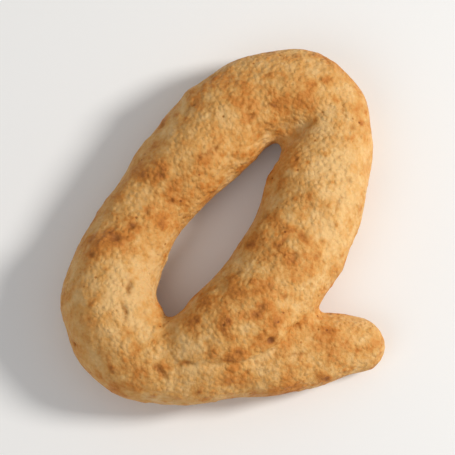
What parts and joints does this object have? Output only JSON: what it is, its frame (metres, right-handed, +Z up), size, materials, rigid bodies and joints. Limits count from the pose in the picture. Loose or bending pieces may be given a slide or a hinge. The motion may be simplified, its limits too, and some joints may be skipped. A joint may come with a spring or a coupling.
{
  "type": "tarallo",
  "caption": "Baked tarallo: a rolled strand of dough bent into a leaf-shaped loop with its ends crossed and pressed, one running on as a short stub.",
  "frame": {"origin": "middle of the bounding box on the flat that the tarallo baked and rests on", "axes": "+Y along the loop, away from the pressed crossing; +X towards the side that the stub points to; +Z up, out of the shown side"},
  "size_m": [0.0478, 0.0604, 0.014],
  "materials": {
    "crust": "matte baked crust, uneven and slightly blistered"
  },
  "bodies": {
    "root": {"tarallo": "crust"}
  },
  "joints": []
}
